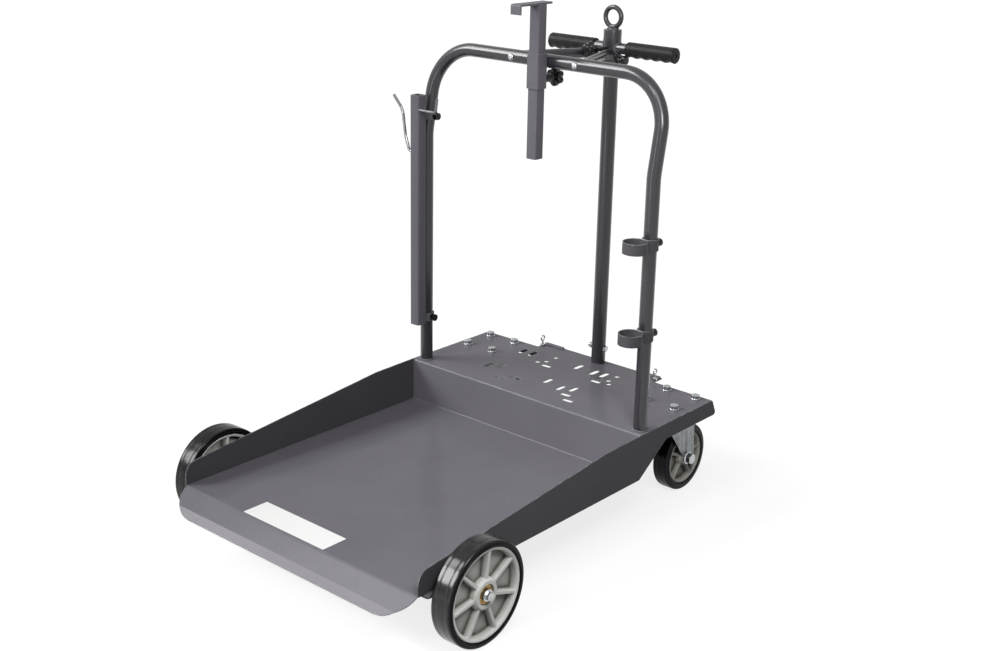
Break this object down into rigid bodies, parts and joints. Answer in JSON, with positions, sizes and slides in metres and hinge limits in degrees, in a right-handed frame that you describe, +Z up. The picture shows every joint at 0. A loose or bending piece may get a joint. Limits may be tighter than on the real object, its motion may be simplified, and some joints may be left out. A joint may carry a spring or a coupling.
{
  "type": "drum trolley",
  "caption": "Four-wheeled trolley for an upright drum: ramp tray, slotted rear deck, hoop frame with a sliding drum hook, handle mast with grips, and swivel casters.",
  "frame": {"origin": "on the ground under the middle of the box around the trolley", "axes": "+X to the right of someone who stands in front of the lip, +Y from the lip towards the handle, +Z up"},
  "size_m": [0.7716, 1.01, 1.0403],
  "materials": {
    "paint": "anthracite powder coat, semi-gloss",
    "tyre": "matte black rubber",
    "grip_rubber": "matte black rubber",
    "rim": "grey moulded plastic",
    "zinc": "zinc plated",
    "bearing_brass": "greased roller cage",
    "bright_wire": "bright plated wire",
    "black_plastic": "black, moulded or oxidised"
  },
  "bodies": {
    "frame": {"tray_sheet": "paint", "hoop": "paint", "mast": "paint", "mast_spigot": "paint", "handle_tee": "paint", "lifting_eye": "paint", "hook_sleeve": "paint", "holder_tube": "paint", "holder_collar_upper": "paint", "holder_collar_lower": "paint", "rod_hook": "paint", "side_wall_left": "paint", "axle_bracket_left": "paint", "brace_arm_left": "paint", "eye_lug_left": "paint", "side_wall_right": "paint", "axle_bracket_right": "paint", "brace_arm_right": "paint", "eye_lug_right": "paint", "grip_left": "grip_rubber", "grip_right": "grip_rubber", "front_axle": "zinc", "mast_bolt": "zinc", "mast_nut": "zinc", "axle_bolt_left": "zinc", "caster_plate_left": "zinc", "caster_kingpin_left": "zinc", "brace_bolt_left": "zinc", "chain_eye_left": "zinc", "axle_bolt_right": "zinc", "caster_plate_right": "zinc", "caster_kingpin_right": "zinc", "brace_bolt_right": "zinc", "chain_eye_right": "zinc", "wire_hook": "bright_wire", "brace_pin": "black_plastic", "holder_screw_upper": "black_plastic", "holder_screw_lower": "black_plastic"},
    "front_wheel_left": {"front_rim_left": "rim", "front_tyre_left": "tyre", "front_bearing_left": "bearing_brass"},
    "front_wheel_right": {"front_rim_right": "rim", "front_tyre_right": "tyre", "front_bearing_right": "bearing_brass"},
    "caster_fork_left": {"caster_fork_left": "zinc", "caster_axle_left": "zinc"},
    "caster_wheel_left": {"caster_rim_left": "rim", "caster_tyre_left": "tyre"},
    "caster_fork_right": {"caster_fork_right": "zinc", "caster_axle_right": "zinc"},
    "caster_wheel_right": {"caster_rim_right": "rim", "caster_tyre_right": "tyre"},
    "drum_hook": {"hook_tube": "paint", "hook_plate": "paint"},
    "hook_knob": {"hook_knob": "black_plastic"},
    "handle_knob": {"handle_knob": "black_plastic"},
    "ring_upper": {"ring_holder_upper": "paint", "ring_screw_upper": "black_plastic"},
    "ring_lower": {"ring_holder_lower": "paint", "ring_screw_lower": "black_plastic"}
  },
  "joints": [
    {"name": "front_wheel_left", "type": "hinge", "parent": "frame", "child": "front_wheel_left", "pos_m": [-0.3555, -0.344, 0.1], "axis": [1, 0, 0], "continuous": true},
    {"name": "front_wheel_right", "type": "hinge", "parent": "frame", "child": "front_wheel_right", "pos_m": [0.3555, -0.344, 0.1], "axis": [1, 0, 0], "continuous": true},
    {"name": "caster_swivel_left", "type": "hinge", "parent": "frame", "child": "caster_fork_left", "pos_m": [-0.2585, 0.383, 0.2], "axis": [0, 0, 1], "continuous": true},
    {"name": "caster_wheel_left", "type": "hinge", "parent": "caster_fork_left", "child": "caster_wheel_left", "pos_m": [-0.2585, 0.43, 0.075], "axis": [1, 0, 0], "continuous": true},
    {"name": "caster_swivel_right", "type": "hinge", "parent": "frame", "child": "caster_fork_right", "pos_m": [0.2505, 0.383, 0.2], "axis": [0, 0, 1], "continuous": true},
    {"name": "caster_wheel_right", "type": "hinge", "parent": "caster_fork_right", "child": "caster_wheel_right", "pos_m": [0.2505, 0.43, 0.075], "axis": [1, 0, 0], "continuous": true},
    {"name": "hook_slide", "type": "slide", "parent": "frame", "child": "drum_hook", "axis": [0, 0, 1], "range_m": [-0.09, 0.12]},
    {"name": "hook_knob_turn", "type": "hinge", "parent": "frame", "child": "hook_knob", "pos_m": [0, 0.22456, 0.888], "axis": [0, 1, 0], "range_deg": [0, 1080]},
    {"name": "handle_knob_turn", "type": "hinge", "parent": "frame", "child": "handle_knob", "pos_m": [0, 0.3987, 0.929], "axis": [0, 1, 0], "range_deg": [0, 1080]},
    {"name": "ring_slide_upper", "type": "slide", "parent": "frame", "child": "ring_upper", "axis": [0, 0, 1], "range_m": [-0.06, 0.1]},
    {"name": "ring_slide_lower", "type": "slide", "parent": "frame", "child": "ring_lower", "axis": [0, 0, 1], "range_m": [-0.15, 0.06]}
  ]
}
